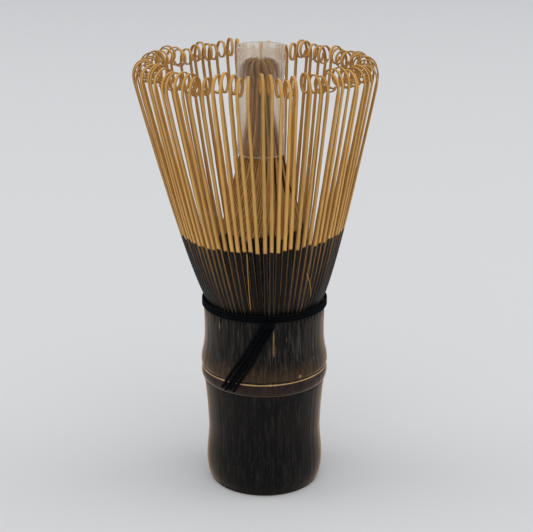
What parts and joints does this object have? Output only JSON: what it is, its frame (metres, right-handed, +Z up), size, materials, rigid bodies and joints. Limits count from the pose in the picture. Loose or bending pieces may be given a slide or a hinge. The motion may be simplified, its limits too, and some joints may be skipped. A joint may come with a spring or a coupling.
{
  "type": "bamboo tea whisk",
  "caption": "Bamboo tea whisk: a dark culm handle split into flaring tines with curled tips, an inner tine bunch in a film sleeve, and a thread binding.",
  "frame": {"origin": "centre of the handle's open foot, on the foot's flat face", "axes": "+Z up the handle's axis to the curled rim; -Y is the side with the knot and the thread's loose ends"},
  "size_m": [0.0581, 0.0578, 0.1111],
  "materials": {
    "culm_skin": "satin black bamboo skin",
    "outer_tine_bamboo": "shaved bamboo",
    "inner_tine_bamboo": "shaved bamboo",
    "thread": "twisted cotton thread",
    "film": "milky clear film"
  },
  "bodies": {
    "handle": {"lower_culm": "culm_skin", "node_ring": "culm_skin", "node_diaphragm": "culm_skin", "upper_culm": "culm_skin", "thread_turn_1": "thread", "thread_turn_2": "thread", "thread_turn_3": "thread", "thread_inner_turn": "thread", "thread_knot": "thread", "thread_tail_1": "thread", "thread_tail_2": "thread", "thread_tail_3": "thread", "thread_tail_4": "thread"},
    "outer_sector_01": {"outer_tines_01": "outer_tine_bamboo"},
    "outer_sector_02": {"outer_tines_02": "outer_tine_bamboo"},
    "outer_sector_03": {"outer_tines_03": "outer_tine_bamboo"},
    "outer_sector_04": {"outer_tines_04": "outer_tine_bamboo"},
    "outer_sector_05": {"outer_tines_05": "outer_tine_bamboo"},
    "outer_sector_06": {"outer_tines_06": "outer_tine_bamboo"},
    "outer_sector_07": {"outer_tines_07": "outer_tine_bamboo"},
    "outer_sector_08": {"outer_tines_08": "outer_tine_bamboo"},
    "outer_sector_09": {"outer_tines_09": "outer_tine_bamboo"},
    "outer_sector_10": {"outer_tines_10": "outer_tine_bamboo"},
    "outer_sector_11": {"outer_tines_11": "outer_tine_bamboo"},
    "outer_sector_12": {"outer_tines_12": "outer_tine_bamboo"},
    "outer_sector_13": {"outer_tines_13": "outer_tine_bamboo"},
    "outer_sector_14": {"outer_tines_14": "outer_tine_bamboo"},
    "outer_sector_15": {"outer_tines_15": "outer_tine_bamboo"},
    "outer_sector_16": {"outer_tines_16": "outer_tine_bamboo"},
    "inner_bunch": {"inner_tines_01": "inner_tine_bamboo", "inner_tines_02": "inner_tine_bamboo", "inner_tines_03": "inner_tine_bamboo", "inner_tines_04": "inner_tine_bamboo", "inner_tines_05": "inner_tine_bamboo", "inner_tines_06": "inner_tine_bamboo", "inner_tines_07": "inner_tine_bamboo", "inner_tines_08": "inner_tine_bamboo", "inner_tines_09": "inner_tine_bamboo", "inner_tines_10": "inner_tine_bamboo", "inner_tines_11": "inner_tine_bamboo", "inner_tines_12": "inner_tine_bamboo", "inner_tines_13": "inner_tine_bamboo", "inner_tines_14": "inner_tine_bamboo", "inner_tines_15": "inner_tine_bamboo", "inner_tines_16": "inner_tine_bamboo"},
    "sleeve": {"film_sleeve": "film"}
  },
  "joints": [
    {"name": "outer_flex_01", "type": "hinge", "parent": "handle", "child": "outer_sector_01", "pos_m": [0.00277, -0.01393, 0.048], "axis": [0.9808, 0.1951, 0], "range_deg": [-2, 6], "stiffness_Nm_per_rad": 0.01},
    {"name": "outer_flex_02", "type": "hinge", "parent": "handle", "child": "outer_sector_02", "pos_m": [0.00789, -0.01181, 0.048], "axis": [0.8315, 0.5556, 0], "range_deg": [-2, 6], "stiffness_Nm_per_rad": 0.01},
    {"name": "outer_flex_03", "type": "hinge", "parent": "handle", "child": "outer_sector_03", "pos_m": [0.01181, -0.00789, 0.048], "axis": [0.5556, 0.8315, 0], "range_deg": [-2, 6], "stiffness_Nm_per_rad": 0.01},
    {"name": "outer_flex_04", "type": "hinge", "parent": "handle", "child": "outer_sector_04", "pos_m": [0.01393, -0.00277, 0.048], "axis": [0.1951, 0.9808, 0], "range_deg": [-2, 6], "stiffness_Nm_per_rad": 0.01},
    {"name": "outer_flex_05", "type": "hinge", "parent": "handle", "child": "outer_sector_05", "pos_m": [0.01393, 0.00277, 0.048], "axis": [-0.1951, 0.9808, 0], "range_deg": [-2, 6], "stiffness_Nm_per_rad": 0.01},
    {"name": "outer_flex_06", "type": "hinge", "parent": "handle", "child": "outer_sector_06", "pos_m": [0.01181, 0.00789, 0.048], "axis": [-0.5556, 0.8315, 0], "range_deg": [-2, 6], "stiffness_Nm_per_rad": 0.01},
    {"name": "outer_flex_07", "type": "hinge", "parent": "handle", "child": "outer_sector_07", "pos_m": [0.00789, 0.01181, 0.048], "axis": [-0.8315, 0.5556, 0], "range_deg": [-2, 6], "stiffness_Nm_per_rad": 0.01},
    {"name": "outer_flex_08", "type": "hinge", "parent": "handle", "child": "outer_sector_08", "pos_m": [0.00277, 0.01393, 0.048], "axis": [-0.9808, 0.1951, 0], "range_deg": [-2, 6], "stiffness_Nm_per_rad": 0.01},
    {"name": "outer_flex_09", "type": "hinge", "parent": "handle", "child": "outer_sector_09", "pos_m": [-0.00277, 0.01393, 0.048], "axis": [-0.9808, -0.1951, 0], "range_deg": [-2, 6], "stiffness_Nm_per_rad": 0.01},
    {"name": "outer_flex_10", "type": "hinge", "parent": "handle", "child": "outer_sector_10", "pos_m": [-0.00789, 0.01181, 0.048], "axis": [-0.8315, -0.5556, 0], "range_deg": [-2, 6], "stiffness_Nm_per_rad": 0.01},
    {"name": "outer_flex_11", "type": "hinge", "parent": "handle", "child": "outer_sector_11", "pos_m": [-0.01181, 0.00789, 0.048], "axis": [-0.5556, -0.8315, 0], "range_deg": [-2, 6], "stiffness_Nm_per_rad": 0.01},
    {"name": "outer_flex_12", "type": "hinge", "parent": "handle", "child": "outer_sector_12", "pos_m": [-0.01393, 0.00277, 0.048], "axis": [-0.1951, -0.9808, 0], "range_deg": [-2, 6], "stiffness_Nm_per_rad": 0.01},
    {"name": "outer_flex_13", "type": "hinge", "parent": "handle", "child": "outer_sector_13", "pos_m": [-0.01393, -0.00277, 0.048], "axis": [0.1951, -0.9808, 0], "range_deg": [-2, 6], "stiffness_Nm_per_rad": 0.01},
    {"name": "outer_flex_14", "type": "hinge", "parent": "handle", "child": "outer_sector_14", "pos_m": [-0.01181, -0.00789, 0.048], "axis": [0.5556, -0.8315, 0], "range_deg": [-2, 6], "stiffness_Nm_per_rad": 0.01},
    {"name": "outer_flex_15", "type": "hinge", "parent": "handle", "child": "outer_sector_15", "pos_m": [-0.00789, -0.01181, 0.048], "axis": [0.8315, -0.5556, 0], "range_deg": [-2, 6], "stiffness_Nm_per_rad": 0.01},
    {"name": "outer_flex_16", "type": "hinge", "parent": "handle", "child": "outer_sector_16", "pos_m": [-0.00277, -0.01393, 0.048], "axis": [0.9808, -0.1951, 0], "range_deg": [-2, 6], "stiffness_Nm_per_rad": 0.01},
    {"name": "inner_bunch_lean", "type": "hinge", "parent": "handle", "child": "inner_bunch", "pos_m": [0, 0, 0.048], "axis": [0, 1, 0], "range_deg": [-3, 3], "stiffness_Nm_per_rad": 0.1},
    {"name": "film_sleeve_lift", "type": "slide", "parent": "inner_bunch", "child": "sleeve", "axis": [0, 0, 1], "range_m": [0, 0.035]}
  ]
}
